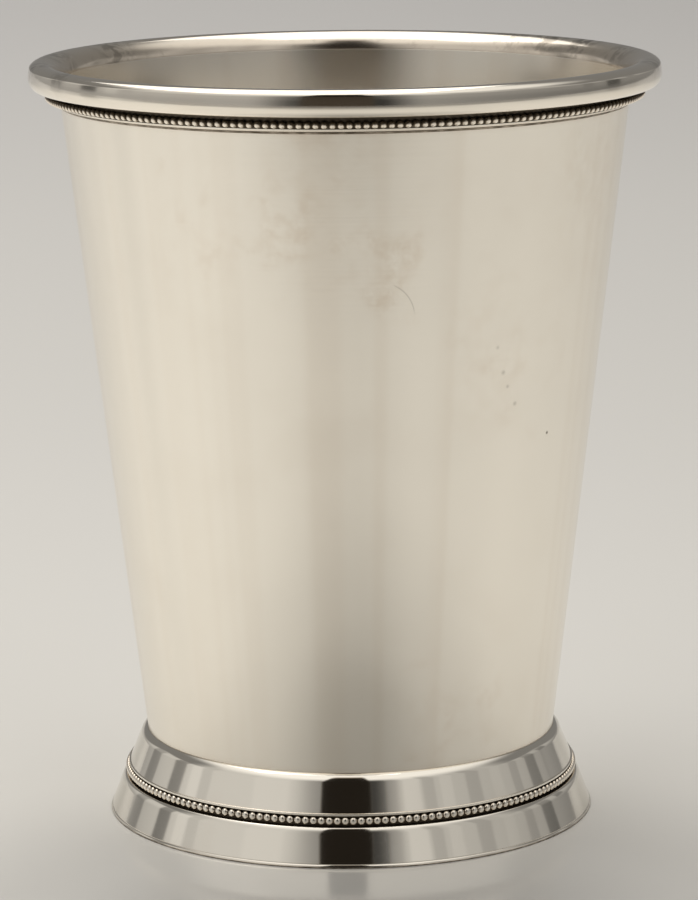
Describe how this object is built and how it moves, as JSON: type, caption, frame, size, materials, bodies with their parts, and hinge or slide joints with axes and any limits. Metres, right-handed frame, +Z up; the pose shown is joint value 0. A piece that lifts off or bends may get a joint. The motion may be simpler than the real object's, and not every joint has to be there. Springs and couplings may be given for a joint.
{
  "type": "julep cup",
  "caption": "Tapering metal beaker with a thick rolled lip and a flared foot ring, each edged by a wire of small pearls lying in a channel.",
  "frame": {"origin": "on the table at the cup's upright axis, under the middle of the foot ring", "axes": "+Z up along the cup's axis, towards the mouth"},
  "size_m": [0.0864, 0.0864, 0.1049],
  "materials": {
    "satin_silver": "satin",
    "polished_silver": "polished",
    "aged_silver": "gloss",
    "grey_solder": "satin"
  },
  "bodies": {
    "root": {"cup_body": "satin_silver", "rim_moulding": "polished_silver", "rim_pearl_wire": "aged_silver", "rim_solder_seam": "grey_solder", "foot_ring": "polished_silver", "foot_pearl_wire": "aged_silver", "foot_solder_seam": "grey_solder"}
  },
  "joints": []
}
